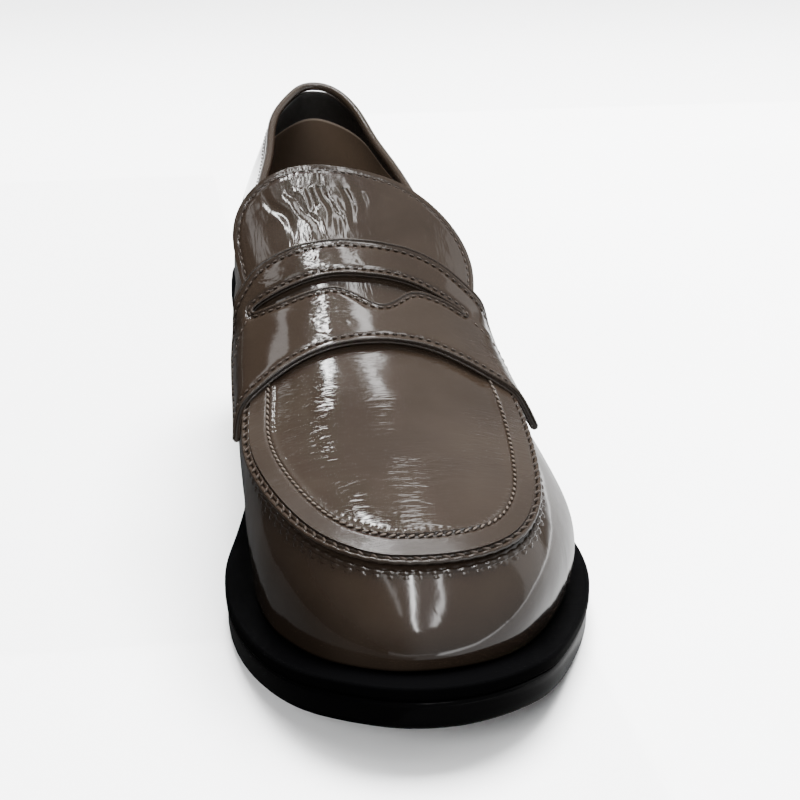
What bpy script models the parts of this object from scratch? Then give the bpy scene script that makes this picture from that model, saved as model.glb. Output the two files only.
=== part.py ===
"""Loafer pump, left shoe: shell on the form of the last, apron with tongue, strap, welt, sole and heel.

The toe points to -Y, the outer side of the foot to +X and the floor is z = 0.
While it is modelled, y is the way back from the toe tip of the upper; the last step centres the shoe.
"""
import bpy
import numpy as np

MM = 0.001

# Driving sizes of the last, on the outside of the upper
LAST_LENGTH = 245.0 * MM
BALL_WIDTH = 82.0 * MM
INSTEP_HEIGHT = 50.0 * MM
BACK_HEIGHT = 55.0 * MM
HEEL_RISE = 39.4 * MM
TOE_SPRING = 8.6 * MM

# Leather
WALL = 1.8 * MM
APRON_THICKNESS = 1.3 * MM
APRON_BORDER_STEP = 0.5 * MM
APRON_BORDER_WIDTH = 5.2 * MM
APRON_EDGE_INSET = 0.8 * MM
SEAM_RADIUS = 0.8 * MM
BINDING_RADIUS = 1.45 * MM
STRAP_THICKNESS = 1.6 * MM
STRAP_STAND_OFF = 2.3 * MM
STRAP_HANG = 7.0 * MM

# Sole and heel
WELT_WIDTH = 6.5 * MM
WELT_THICKNESS = 3.3 * MM
WELT_SEAT_WIDTH = 8.0 * MM
WELT_EDGE_BEVEL = 0.6 * MM
OUTSOLE_THICKNESS = 7.0 * MM
OUTSOLE_SIDE_INSET = 0.5 * MM
OUTSOLE_FOOT_INSET = 1.6 * MM
OUTSOLE_FOOT_HEIGHT = 1.2 * MM
INSOLE_THICKNESS = 3.0 * MM
INSOLE_PLAY = 0.6 * MM
HEEL_LENGTH = 56.0 * MM
HEEL_INSET = 1.2 * MM
HEEL_BACK_TAPER = 4.0 * MM
HEEL_SIDE_TAPER = 1.6 * MM
HEEL_BREAST_TAPER = 2.5 * MM
TOP_PIECE_THICKNESS = 5.6 * MM

# Clearance between pieces that touch on the real shoe
CLEAR = 0.3 * MM

# How finely the ribs and the rows across them are sampled
STEPS_PER_RIB = 2
WALL_ROWS = 7
CAP_COLUMNS = 12
EDGE_STEPS_PER_RIB = 20
SADDLE_RIB_SAMPLES = 60
HEEL_RIB_SAMPLES = 81

# How far to each side a direction is taken from: ribs, share of the wall's height, plan distance
RIB_REACH = 0.05
WALL_REACH = 0.02
PLAN_REACH = 0.4 * MM

# Edges that turn by more than this, in radians, are shown sharp
SHARP_EDGE_TURN = 0.7

# Ribs of the last from the toe centre back to the heel centre, one row each.
# t is the way back from the toe tip as a share of LAST_LENGTH, x the way to the side as one of BALL_WIDTH.
# rim_h is the height over the feather line: a share of INSTEP_HEIGHT before the strap, of BACK_HEIGHT after.
# low and high are the bellies of the rib as shares of BALL_WIDTH, welt its width as a share of WELT_WIDTH.
RIB_COLUMNS = ("foot_t", "foot_x", "rim_t", "rim_x", "rim_h", "low", "high", "welt")
LATERAL_RIBS = (
    (0.007, +0.012, 0.0635, +0.024, 0.444, 0.018, 0.098, 1.35),
    (0.012, +0.110, 0.065, +0.110, 0.446, 0.018, 0.098, 1.35),
    (0.027, +0.201, 0.071, +0.189, 0.458, 0.021, 0.098, 1.29),
    (0.051, +0.280, 0.084, +0.262, 0.479, 0.024, 0.104, 1.20),
    (0.086, +0.354, 0.108, +0.321, 0.512, 0.030, 0.110, 1.05),
    (0.135, +0.433, 0.147, +0.373, 0.569, 0.037, 0.122, 0.95),
    (0.196, +0.512, 0.204, +0.406, 0.640, 0.044, 0.136, 0.88),
    (0.261, +0.565, 0.265, +0.424, 0.696, 0.053, 0.125, 0.84),
    (0.327, +0.577, 0.327, +0.424, 0.760, 0.060, 0.094, 0.80),
    (0.392, +0.563, 0.392, +0.397, 0.860, 0.062, 0.096, 0.74),
    (0.457, +0.522, 0.449, +0.368, 0.944, 0.063, 0.110, 0.66),
    (0.514, +0.470, 0.494, +0.354, 0.994, 0.067, 0.118, 0.56),
    (0.580, +0.415, 0.563, +0.348, 0.883, 0.079, 0.122, 0.49),
    (0.653, +0.372, 0.645, +0.324, 0.816, 0.079, 0.104, 0.43),
    (0.727, +0.348, 0.727, +0.300, 0.756, 0.067, 0.091, 0.40),
    (0.800, +0.341, 0.804, +0.266, 0.757, 0.055, 0.085, 0.38),
    (0.865, +0.323, 0.865, +0.222, 0.809, 0.046, 0.079, 0.38),
    (0.918, +0.300, 0.914, +0.193, 0.884, 0.041, 0.073, 0.38),
    (0.955, +0.228, 0.949, +0.146, 0.953, 0.037, 0.067, 0.38),
    (0.978, +0.122, 0.966, +0.087, 0.993, 0.034, 0.063, 0.38),
    (0.984, +0.012, 0.971, +0.030, 1.003, 0.034, 0.061, 0.38),
)
MEDIAL_RIBS = (
    (0.014, -0.091, 0.067, -0.073, 0.448, 0.018, 0.098, 1.35),
    (0.035, -0.183, 0.078, -0.152, 0.468, 0.021, 0.098, 1.32),
    (0.065, -0.262, 0.096, -0.220, 0.496, 0.022, 0.091, 1.23),
    (0.110, -0.329, 0.127, -0.285, 0.539, 0.022, 0.079, 1.14),
    (0.163, -0.378, 0.171, -0.341, 0.598, 0.022, 0.067, 1.06),
    (0.220, -0.398, 0.224, -0.384, 0.657, 0.016, 0.042, 1.09),
    (0.278, -0.400, 0.282, -0.400, 0.710, 0.014, 0.032, 1.10),
    (0.335, -0.386, 0.339, -0.380, 0.798, 0.026, 0.044, 1.05),
    (0.396, -0.360, 0.396, -0.364, 0.907, 0.061, 0.067, 0.80),
    (0.457, -0.325, 0.449, -0.347, 0.984, 0.091, 0.085, 0.65),
    (0.514, -0.299, 0.494, -0.334, 1.030, 0.116, 0.098, 0.52),
    (0.580, -0.285, 0.563, -0.322, 0.920, 0.122, 0.104, 0.45),
    (0.653, -0.288, 0.645, -0.282, 0.856, 0.104, 0.098, 0.40),
    (0.727, -0.303, 0.727, -0.246, 0.803, 0.079, 0.091, 0.38),
    (0.800, -0.316, 0.804, -0.196, 0.797, 0.061, 0.085, 0.38),
    (0.865, -0.303, 0.865, -0.170, 0.842, 0.049, 0.079, 0.38),
    (0.918, -0.275, 0.914, -0.137, 0.904, 0.041, 0.073, 0.38),
    (0.955, -0.203, 0.949, -0.075, 0.960, 0.037, 0.067, 0.38),
    (0.978, -0.097, 0.966, -0.024, 0.995, 0.034, 0.063, 0.38),
)
STRAP_RIB = 10
LAST_RIB = 20
LAST_FRONT_RIB = 11
RING_OVERLAP_RIBS = 4

# Side profile of the feather line: t, share of TOE_SPRING, share of HEEL_RISE
FEATHER_PROFILE = (
    (-0.060, 1.12, 0.000),
    (0.000, 0.95, 0.000),
    (0.041, 0.70, 0.000),
    (0.082, 0.49, 0.000),
    (0.143, 0.24, 0.000),
    (0.204, 0.07, 0.000),
    (0.253, 0.00, 0.000),
    (0.367, 0.00, 0.000),
    (0.408, 0.00, 0.030),
    (0.469, 0.00, 0.125),
    (0.531, 0.00, 0.270),
    (0.592, 0.00, 0.445),
    (0.653, 0.00, 0.615),
    (0.714, 0.00, 0.760),
    (0.776, 0.00, 0.870),
    (0.837, 0.00, 0.940),
    (0.898, 0.00, 0.975),
    (1.040, 0.00, 1.010),
)

# Thickness of the outsole along the foot: t, share of OUTSOLE_THICKNESS
OUTSOLE_PROFILE = (
    (-0.060, 1.00),
    (0.400, 1.00),
    (0.530, 0.72),
    (0.660, 0.57),
    (1.040, 0.57),
)

# Rise of the apron's middle over its two edges: t, share of INSTEP_HEIGHT
APRON_RISE = (
    (0.0635, 0.000),
    (0.082, 0.046),
    (0.102, 0.070),
    (0.163, 0.096),
    (0.224, 0.110),
    (0.286, 0.134),
    (0.335, 0.154),
    (0.396, 0.174),
    (0.449, 0.184),
)
APRON_ROUNDNESS = 2.2

# Climb of the tongue behind the strap rib, and how much more its medial side climbs:
# t, shares of INSTEP_HEIGHT
TONGUE_CLIMB = (
    (0.449, 0.000, 0.000),
    (0.494, 0.166, 0.016),
    (0.535, 0.352, 0.034),
    (0.580, 0.570, 0.050),
)
TONGUE_SHOULDER = 0.508
TONGUE_TOP = 0.574
TONGUE_SKEW = 0.011
TONGUE_MEDIAL = 0.402
TONGUE_LATERAL = 0.394
TONGUE_ROUNDNESS = 2.7
TONGUE_STEPS = 8

# Edges of the strap across the shoe, from -1 at its medial end to +1 at its lateral end:
# lower edge, lower and upper edge of the cut-out, upper edge, as shares of LAST_LENGTH
STRAP_MEDIAL_RUN = 0.525
STRAP_LATERAL_RUN = 0.550
STRAP_EDGES = (
    (-1.00, 0.3200, 0.4260, 0.4290, 0.4540),
    (-0.85, 0.3350, 0.4450, 0.4480, 0.4690),
    (-0.75, 0.3445, 0.4520, 0.4550, 0.4815),
    (-0.65, 0.3535, 0.4485, 0.4585, 0.4920),
    (-0.50, 0.3640, 0.4455, 0.4605, 0.4965),
    (-0.35, 0.3710, 0.4475, 0.4625, 0.4985),
    (-0.20, 0.3745, 0.4485, 0.4635, 0.4990),
    (-0.05, 0.3755, 0.4350, 0.4620, 0.4980),
    (0.00, 0.3755, 0.4275, 0.4610, 0.4975),
    (0.05, 0.3755, 0.4215, 0.4603, 0.4970),
    (0.10, 0.3750, 0.4210, 0.4597, 0.4965),
    (0.15, 0.3740, 0.4265, 0.4590, 0.4955),
    (0.20, 0.3730, 0.4345, 0.4580, 0.4950),
    (0.30, 0.3700, 0.4455, 0.4555, 0.4935),
    (0.50, 0.3580, 0.4420, 0.4460, 0.4865),
    (0.60, 0.3505, 0.4355, 0.4400, 0.4800),
    (0.75, 0.3400, 0.4260, 0.4290, 0.4690),
    (1.00, 0.3230, 0.3980, 0.4010, 0.4400),
)
CUT_OUT_MEDIAL_RUN = -0.73
CUT_OUT_LATERAL_RUN = 0.63
STRAP_COLUMNS = 40
STRAP_BAR_ROWS = 3
SADDLE_START = 0.30
SADDLE_END = 0.52
SADDLE_ROWS = 23
# Gap under the strap below the rim, from its ends up, as shares of STRAP_STAND_OFF
STRAP_END_STAND_OFFS = (0.22, 0.34, 0.56, 0.82)

# Ribs where the seam and the binding end, both under the strap or tongue
SEAM_END_RIB = 8.5
BINDING_START_RIB = 10.5
HEEL_STEPS = 14


def profile(table, column, at):
    """Cubic through one column of a table that never overshoots its rows."""
    rows = np.array(table)
    x = rows[:, 0]
    y = rows[:, column]
    step = np.diff(x)
    slope = np.diff(y) / step
    tangent = np.concatenate(([slope[0]], np.zeros(len(x) - 2), [slope[-1]]))
    for i in range(1, len(x) - 1):
        if slope[i - 1] * slope[i] > 0:
            before = 2 * step[i] + step[i - 1]
            after = step[i] + 2 * step[i - 1]
            tangent[i] = (before + after) / (before / slope[i - 1] + after / slope[i])
    at = np.clip(np.asarray(at, float), x[0], x[-1])
    i = np.clip(np.searchsorted(x, at) - 1, 0, len(x) - 2)
    p = (at - x[i]) / step[i]
    rise = y[i] * (1 - p) ** 2 * (1 + 2 * p) + y[i + 1] * p ** 2 * (3 - 2 * p)
    lean = tangent[i] * p * (1 - p) ** 2 - tangent[i + 1] * p ** 2 * (1 - p)
    return rise + lean * step[i]


def spline(knots, values, at):
    """Cubic with continuous curvature through rows of values."""
    count = len(knots)
    step = np.diff(knots)
    system = np.eye(count)
    load = np.zeros(values.shape)
    for i in range(1, count - 1):
        system[i, i - 1] = step[i - 1]
        system[i, i] = 2 * (step[i - 1] + step[i])
        system[i, i + 1] = step[i]
        after = (values[i + 1] - values[i]) / step[i]
        before = (values[i] - values[i - 1]) / step[i - 1]
        load[i] = 6 * (after - before)
    bend = np.linalg.solve(system, load)
    i = np.clip(np.searchsorted(knots, at) - 1, 0, count - 2)
    b = ((at - knots[i]) / step[i])[:, None]
    a = 1 - b
    curve = (a ** 3 - a) * bend[i] + (b ** 3 - b) * bend[i + 1]
    return a * values[i] + b * values[i + 1] + curve * step[i][:, None] ** 2 / 6


def feather(t):
    """Height of the welt's top face at the way back t."""
    share = np.asarray(t) / LAST_LENGTH
    ball = OUTSOLE_THICKNESS + WELT_THICKNESS + CLEAR
    spring = TOE_SPRING * profile(FEATHER_PROFILE, 1, share)
    return ball + spring + HEEL_RISE * profile(FEATHER_PROFILE, 2, share)


def outsole_top(t):
    return feather(t) - WELT_THICKNESS - CLEAR


def outsole_bottom(t):
    share = np.asarray(t) / LAST_LENGTH
    return outsole_top(t) - OUTSOLE_THICKNESS * profile(OUTSOLE_PROFILE, 1, share)


def real_rib(rib, is_front):
    """One row of the rib tables in metres, with the rim's height over the floor."""
    row = dict(zip(RIB_COLUMNS, rib))
    rim_t = row["rim_t"] * LAST_LENGTH
    height = INSTEP_HEIGHT if is_front else BACK_HEIGHT
    return (
        row["foot_x"] * BALL_WIDTH,
        row["foot_t"] * LAST_LENGTH,
        row["rim_x"] * BALL_WIDTH,
        rim_t,
        float(feather(rim_t)) + row["rim_h"] * height,
        row["low"] * BALL_WIDTH,
        row["high"] * BALL_WIDTH,
        row["welt"] * WELT_WIDTH,
    )


def rib_ring():
    """All ribs in one closed round, medial heel to toe to lateral heel, repeated past the heel centre."""
    lateral = [real_rib(rib, i <= LAST_FRONT_RIB) for i, rib in enumerate(LATERAL_RIBS)]
    medial = [real_rib(rib, i < LAST_FRONT_RIB) for i, rib in enumerate(MEDIAL_RIBS)]
    around = [lateral[-1]] + medial[::-1] + lateral
    before = around[-1 - RING_OVERLAP_RIBS:-1]
    after = around[1:1 + RING_OVERLAP_RIBS]
    rows = np.array(before + around + after)
    numbers = np.arange(len(rows)) - LAST_RIB - RING_OVERLAP_RIBS
    chord = np.linalg.norm(np.diff(rows[:, :2], axis=0), axis=1)
    knots = np.concatenate(([0.0], np.cumsum(chord)))
    return numbers, knots, rows


RIB_NUMBERS, RIB_KNOTS, RIB_ROWS = rib_ring()


def ribs(r):
    """Rib values at rib numbers r: negative on the medial side, 0 at the toe, positive on the lateral."""
    return spline(RIB_KNOTS, RIB_ROWS, np.interp(r, RIB_NUMBERS, RIB_KNOTS))


def outward(r):
    """Level direction out of the foot's outline at rib numbers r."""
    along = ribs(r + RIB_REACH)[:, :2] - ribs(r - RIB_REACH)[:, :2]
    normal = np.stack((along[:, 1], -along[:, 0]), axis=1)
    return normal / np.linalg.norm(normal, axis=1)[:, None]


def wall(r, h):
    """Outer face of the upper: rows for rib numbers r, columns for h from the foot (0) to the rim (1)."""
    row = ribs(r)
    out = outward(r)
    foot = np.column_stack((row[:, 0], row[:, 1], feather(row[:, 1]) + CLEAR))
    rim = row[:, 2:5]
    third = (rim[:, 2] - foot[:, 2]) / 3
    low = foot + np.column_stack((out * row[:, 5:6], third))
    high = rim + np.column_stack((out * row[:, 6:7], -third))
    h = np.asarray(h)
    h = h[None, :, None] if h.ndim == 1 else h[:, :, None]
    parts = (foot, low, high, rim)
    weights = ((1 - h) ** 3, 3 * h * (1 - h) ** 2, 3 * h ** 2 * (1 - h), h ** 3)
    return sum(weight * part[:, None, :] for weight, part in zip(weights, parts))


def unit(vectors):
    return vectors / np.linalg.norm(vectors, axis=-1, keepdims=True)


def rim_directions(r):
    """At the rim: the direction up the wall and the direction out of it."""
    rim = np.array([1.0])
    up = unit(wall(r, rim)[:, 0] - wall(r, rim - WALL_REACH)[:, 0])
    along = wall(r + RIB_REACH, rim)[:, 0] - wall(r - RIB_REACH, rim)[:, 0]
    return up, unit(np.cross(along, up))


def wall_below_rim(r, depth):
    """Points of the wall at the way depth down from the rim."""
    height = np.linalg.norm(wall(r, np.array([1.0]))[:, 0] - wall(r, np.array([0.0]))[:, 0], axis=1)
    return wall(r, (1 - depth / height)[:, None])[:, 0]


def apron_edge(side):
    """Edge of the apron on one side (+1 lateral, -1 medial) from the toe centre to the tongue's shoulder."""
    rim = ribs(side * np.linspace(0, STRAP_RIB, EDGE_STEPS_PER_RIB * STRAP_RIB + 1))[:, 2:5]
    spread = TONGUE_LATERAL if side > 0 else -TONGUE_MEDIAL
    shoulder = (TONGUE_SHOULDER - side * TONGUE_SKEW) * LAST_LENGTH
    return np.vstack((rim, (TONGUE_MIDDLE + spread * BALL_WIDTH, shoulder, rim[-1, 2])))


TONGUE_MIDDLE = ribs(np.array([-STRAP_RIB, STRAP_RIB]))[:, 2].mean()
EDGE_LATERAL = apron_edge(+1)
EDGE_MEDIAL = apron_edge(-1)
STRAP_RIB_T = EDGE_LATERAL[-2, 1]


def cap(x, t):
    """Height of the shell's top over the plan point (x, t), with the tongue's slope behind the strap rib."""
    lateral_x, lateral_z = (np.interp(t, EDGE_LATERAL[:, 1], EDGE_LATERAL[:, axis]) for axis in (0, 2))
    medial_x, medial_z = (np.interp(t, EDGE_MEDIAL[:, 1], EDGE_MEDIAL[:, axis]) for axis in (0, 2))
    half = np.maximum((lateral_x - medial_x) / 2, 0.1 * MM)
    v = np.clip((x - (lateral_x + medial_x) / 2) / half, -1.05, 1.05)
    level = medial_z + (lateral_z - medial_z) * (v + 1) / 2
    share = np.asarray(t) / LAST_LENGTH
    rise = INSTEP_HEIGHT * profile(APRON_RISE, 1, share) * (1 - np.abs(v) ** APRON_ROUNDNESS)
    climb = INSTEP_HEIGHT * (profile(TONGUE_CLIMB, 1, share) - v * profile(TONGUE_CLIMB, 2, share))
    return level + rise + climb


def on_cap(plan):
    """Plan points (.., 2) lifted onto the cap."""
    return np.concatenate((plan, cap(plan[..., 0], plan[..., 1])[..., None]), axis=-1)


def cap_normal(plan):
    """Direction out of the cap over plan points."""
    side = np.array((PLAN_REACH, 0.0))
    back = np.array((0.0, PLAN_REACH))
    over = on_cap(plan + side) - on_cap(plan - side)
    along = on_cap(plan + back) - on_cap(plan - back)
    return unit(np.cross(over, along))


def across(start, end, columns):
    """Straight rungs of plan points from start to end."""
    share = np.linspace(0, 1, columns + 1)[None, :, None]
    return start[:, None, :] * (1 - share) + end[:, None, :] * share


def material(name, colour, roughness, coat=0.0):
    made = bpy.data.materials.new(name)
    made.use_nodes = True
    shader = made.node_tree.nodes["Principled BSDF"]
    shader.inputs["Base Color"].default_value = (*colour, 1.0)
    shader.inputs["Roughness"].default_value = roughness
    shader.inputs["Metallic"].default_value = 0.0
    shader.inputs["Coat Weight"].default_value = coat
    return made


def new_object(name, vertices, faces, look):
    """An object of its own from points and faces, smooth apart from its sharp edges."""
    mesh = bpy.data.meshes.new(name)
    mesh.from_pydata([tuple(map(float, point)) for point in vertices], [], faces)
    mesh.shade_smooth()
    mesh.set_sharp_from_angle(angle=SHARP_EDGE_TURN)
    mesh.materials.append(look)
    made = bpy.data.objects.new(name, mesh)
    bpy.context.collection.objects.link(made)
    return made


def solidify(target, thickness, offset):
    modifier = target.modifiers.new("Thickness", "SOLIDIFY")
    modifier.thickness = thickness
    modifier.offset = offset
    modifier.use_rim = True


def close_ring(first, count):
    """Faces across a closed ring that starts at its back centre, rung by rung, facing up."""
    faces = [(first, first + 1, first + count - 1)]
    i = 1
    while i + 1 < count - i - 1:
        faces.append((first + i, first + i + 1, first + count - i - 1, first + count - i))
        i += 1
    if i + 1 == count - i - 1:
        faces.append((first + i, first + i + 1, first + i + 2))
    return faces


def band(upper, lower, count, closed=True):
    """Faces of the side between two rings of the same count, facing out."""
    faces = []
    for i in range(count if closed else count - 1):
        j = (i + 1) % count
        faces.append((lower + i, lower + j, upper + j, upper + i))
    return faces


def layered(name, rings, look):
    """A solid from closed rings, top first, closed across the first and the last."""
    count = len(rings[0])
    faces = close_ring(0, count)
    for i in range(len(rings) - 1):
        faces += band(i * count, (i + 1) * count, count)
    faces += [face[::-1] for face in close_ring((len(rings) - 1) * count, count)]
    return new_object(name, np.concatenate(rings), faces, look)


def hoop(name, rings, look):
    """A closed strip from rings that go once round its section."""
    count = len(rings[0])
    faces = []
    for i in range(len(rings)):
        faces += band(i * count, (i + 1) % len(rings) * count, count)
    return new_object(name, np.concatenate(rings), faces, look)


def outline(r, grow, height):
    """Ring of points round the foot, grow outside the upper's foot, at the height that a function gives."""
    plan = ribs(r)[:, :2] + outward(r) * np.broadcast_to(grow, len(r))[:, None]
    return np.column_stack((plan, height(plan[:, 1])))


def round_ribs():
    """Rib numbers once round the shoe from the heel centre."""
    return np.arange(-LAST_RIB, LAST_RIB, 1 / STEPS_PER_RIB)


def make_upper(look):
    """The shell: walls from the foot to the rim, and the cap over the toes and instep."""
    r = round_ribs()
    count = len(r)
    height = np.linalg.norm(wall(r, np.array([1.0]))[:, 0] - wall(r, np.array([0.0]))[:, 0], axis=1)
    bound = np.clip((np.abs(r) - STRAP_RIB) * STEPS_PER_RIB, 0, 1)
    top = 1 - bound * (2 * BINDING_RADIUS + CLEAR) / height
    h = np.linspace(0, 1, WALL_ROWS + 1)[None, :] * top[:, None]
    points = wall(r, h)
    vertices = [point for row in range(WALL_ROWS + 1) for point in points[:, row]]
    faces = []
    for row in range(WALL_ROWS):
        faces += band((row + 1) * count, row * count, count)
    rim = WALL_ROWS * count
    toe = count // 2
    rungs = STRAP_RIB * STEPS_PER_RIB
    lateral = points[toe + 1:toe + rungs + 1, -1]
    medial = points[toe - rungs:toe, -1][::-1]
    middle = on_cap(across(medial[:, :2], lateral[:, :2], CAP_COLUMNS)[:, 1:-1])
    inner = len(vertices)
    vertices += list(middle.reshape(-1, 3))
    rows = []
    for k in range(rungs):
        start = inner + k * (CAP_COLUMNS - 1)
        rows.append([rim + toe - 1 - k] + list(range(start, start + CAP_COLUMNS - 1)) + [rim + toe + 1 + k])
    for c in range(CAP_COLUMNS):
        faces.append((rim + toe, rows[0][c + 1], rows[0][c]))
    for near, far in zip(rows, rows[1:]):
        for c in range(CAP_COLUMNS):
            faces.append((near[c], near[c + 1], far[c + 1], far[c]))
    upper = new_object("upper", vertices, faces, look)
    solidify(upper, WALL, -1)
    return upper


def make_layers(black, black_rubber, board):
    """Insole, welt and outsole, one over the other on the feather line."""
    r = round_ribs()
    welt = ribs(r)[:, 7]
    seat = -WELT_SEAT_WIDTH
    inside = -WALL - INSOLE_PLAY
    layered("insole", (
        outline(r, inside, lambda t: feather(t) + CLEAR + INSOLE_THICKNESS),
        outline(r, inside, lambda t: feather(t) + CLEAR),
    ), board)
    hoop("welt", (
        outline(r, seat, feather),
        outline(r, welt - WELT_EDGE_BEVEL, feather),
        outline(r, welt, lambda t: feather(t) - WELT_EDGE_BEVEL),
        outline(r, welt, lambda t: feather(t) - WELT_THICKNESS),
        outline(r, seat, lambda t: feather(t) - WELT_THICKNESS),
    ), black)
    side = welt - OUTSOLE_SIDE_INSET
    layered("outsole", (
        outline(r, seat - CLEAR, feather),
        outline(r, seat - CLEAR, outsole_top),
        outline(r, side, outsole_top),
        outline(r, side, lambda t: outsole_bottom(t) + OUTSOLE_FOOT_HEIGHT),
        outline(r, side + OUTSOLE_SIDE_INSET - OUTSOLE_FOOT_INSET, outsole_bottom),
    ), black_rubber)


def apron_outline(inset):
    """Closed plan outline of apron and tongue: top centre of the tongue, medial side, toe, lateral side."""
    front = np.arange(-STRAP_RIB, STRAP_RIB + 0.1, 1 / STEPS_PER_RIB)
    rim = ribs(front)[:, 2:4]
    turn = np.linspace(0, np.pi / 2, TONGUE_STEPS + 1)
    power = 2 / TONGUE_ROUNDNESS
    side = BALL_WIDTH * np.sin(turn) ** power
    reach = TONGUE_SHOULDER + (TONGUE_TOP - TONGUE_SHOULDER) * np.cos(turn) ** power
    skew = TONGUE_SKEW * np.sin(turn) ** power
    medial = np.column_stack((TONGUE_MIDDLE - TONGUE_MEDIAL * side, (reach + skew) * LAST_LENGTH))
    lateral = np.column_stack((TONGUE_MIDDLE + TONGUE_LATERAL * side, (reach - skew) * LAST_LENGTH))
    ring = np.concatenate((medial, rim, lateral[:0:-1]))
    along = np.roll(ring, -1, axis=0) - np.roll(ring, 1, axis=0)
    inward = unit(np.stack((-along[:, 1], along[:, 0]), axis=1))
    return ring + inward * inset


def make_apron(look):
    """Plug of the moccasin toe in one with the tongue, its border a step higher up to the strap."""
    outer = apron_outline(APRON_EDGE_INSET)
    border = apron_outline(APRON_BORDER_WIDTH)
    inner = apron_outline(APRON_BORDER_WIDTH + APRON_BORDER_STEP)
    count = len(outer)
    fade = np.clip((STRAP_RIB_T - outer[:, 1]) / APRON_BORDER_WIDTH, 0, 1)
    flat = CLEAR + APRON_THICKNESS
    high = (flat + APRON_BORDER_STEP * fade)[:, None]
    half = count // 2
    rungs = across(inner[1:half], inner[:half:-1], CAP_COLUMNS)[:, 1:-1]
    vertices = list(on_cap(outer) + cap_normal(outer) * high)
    vertices += list(on_cap(border) + cap_normal(border) * high)
    vertices += list(on_cap(inner) + cap_normal(inner) * flat)
    vertices += list((on_cap(rungs) + cap_normal(rungs) * flat).reshape(-1, 3))
    faces = band(count, 0, count) + band(2 * count, count, count)
    rows = []
    for k in range(half - 1):
        start = 3 * count + k * (CAP_COLUMNS - 1)
        middle = list(range(start, start + CAP_COLUMNS - 1))
        rows.append([2 * count + 1 + k] + middle + [3 * count - 1 - k])
    for c in range(CAP_COLUMNS):
        faces.append((2 * count, rows[0][c], rows[0][c + 1]))
        faces.append((2 * count + half, rows[-1][c + 1], rows[-1][c]))
    for far, near in zip(rows, rows[1:]):
        for c in range(CAP_COLUMNS):
            faces.append((near[c], near[c + 1], far[c + 1], far[c]))
    apron = new_object("apron", vertices, faces, look)
    solidify(apron, APRON_THICKNESS, -1)


def make_cord(name, points, radius, sides, look):
    """Round strip along points."""
    curve = bpy.data.curves.new(name, "CURVE")
    curve.dimensions = "3D"
    curve.bevel_depth = radius
    curve.bevel_resolution = sides // 2 - 2
    curve.use_fill_caps = True
    route = curve.splines.new("POLY")
    route.points.add(len(points) - 1)
    for target, point in zip(route.points, points):
        target.co = (*map(float, point), 1.0)
    curve.materials.append(look)
    made = bpy.data.objects.new(name, curve)
    bpy.context.collection.objects.link(made)


def make_moc_seam(look):
    """Raised seam on the ridge round the apron, its ends under the strap."""
    r = np.arange(-SEAM_END_RIB, SEAM_END_RIB + 0.1, 1 / STEPS_PER_RIB)
    rim = ribs(r)[:, 2:5]
    _, out = rim_directions(r)
    level = unit(out * (1, 1, 0))
    lean = unit(out + cap_normal(rim[:, :2] - level[:, :2] * APRON_EDGE_INSET * 2))
    make_cord("moc_seam", rim + lean * (SEAM_RADIUS + CLEAR), SEAM_RADIUS, 6, look)


def make_collar_binding(look):
    """Rolled edge along the topline, from under the tongue round the back."""
    start = LAST_RIB - BINDING_START_RIB
    r = LAST_RIB + np.arange(-start, start + 0.1, 1 / STEPS_PER_RIB)
    r = np.where(r > LAST_RIB, r - 2 * LAST_RIB, r)
    up, out = rim_directions(r)
    points = ribs(r)[:, 2:5] - up * BINDING_RADIUS - out * WALL / 2
    make_cord("collar_binding", points, BINDING_RADIUS, 8, look)


def saddle_grid():
    """Underside of the strap: one row of points across the shoe for each way back t."""
    ways = np.linspace(SADDLE_START, SADDLE_END, SADDLE_ROWS) * LAST_LENGTH
    depths = np.arange(len(STRAP_END_STAND_OFFS), 0, -1) * STRAP_HANG / 2
    side_rows = {}
    for side in (+1, -1):
        r = side * np.linspace(STRAP_RIB / 2, STRAP_RIB + 2, SADDLE_RIB_SAMPLES)
        side_rows[side] = np.interp(ways, ribs(r)[:, 3], r)
    lateral = np.stack([wall_below_rim(side_rows[+1], depth) for depth in depths], axis=1)
    medial = np.stack([wall_below_rim(side_rows[-1], depth) for depth in depths], axis=1)
    right = np.column_stack((np.interp(ways, EDGE_LATERAL[:, 1], EDGE_LATERAL[:, 0]), ways))
    left = np.column_stack((np.interp(ways, EDGE_MEDIAL[:, 1], EDGE_MEDIAL[:, 0]), ways))
    top = on_cap(across(left, right, CAP_COLUMNS))
    grid = np.concatenate((medial, top, lateral[:, ::-1]), axis=1)
    over = np.gradient(grid, axis=1)
    along = np.gradient(grid, axis=0)
    ends = np.array(STRAP_END_STAND_OFFS)
    stand_off = STRAP_STAND_OFF * np.concatenate((ends, np.ones(CAP_COLUMNS + 1), ends[::-1]))
    grid = grid + unit(np.cross(over, along)) * stand_off[:, None]
    return ways, grid


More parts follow.
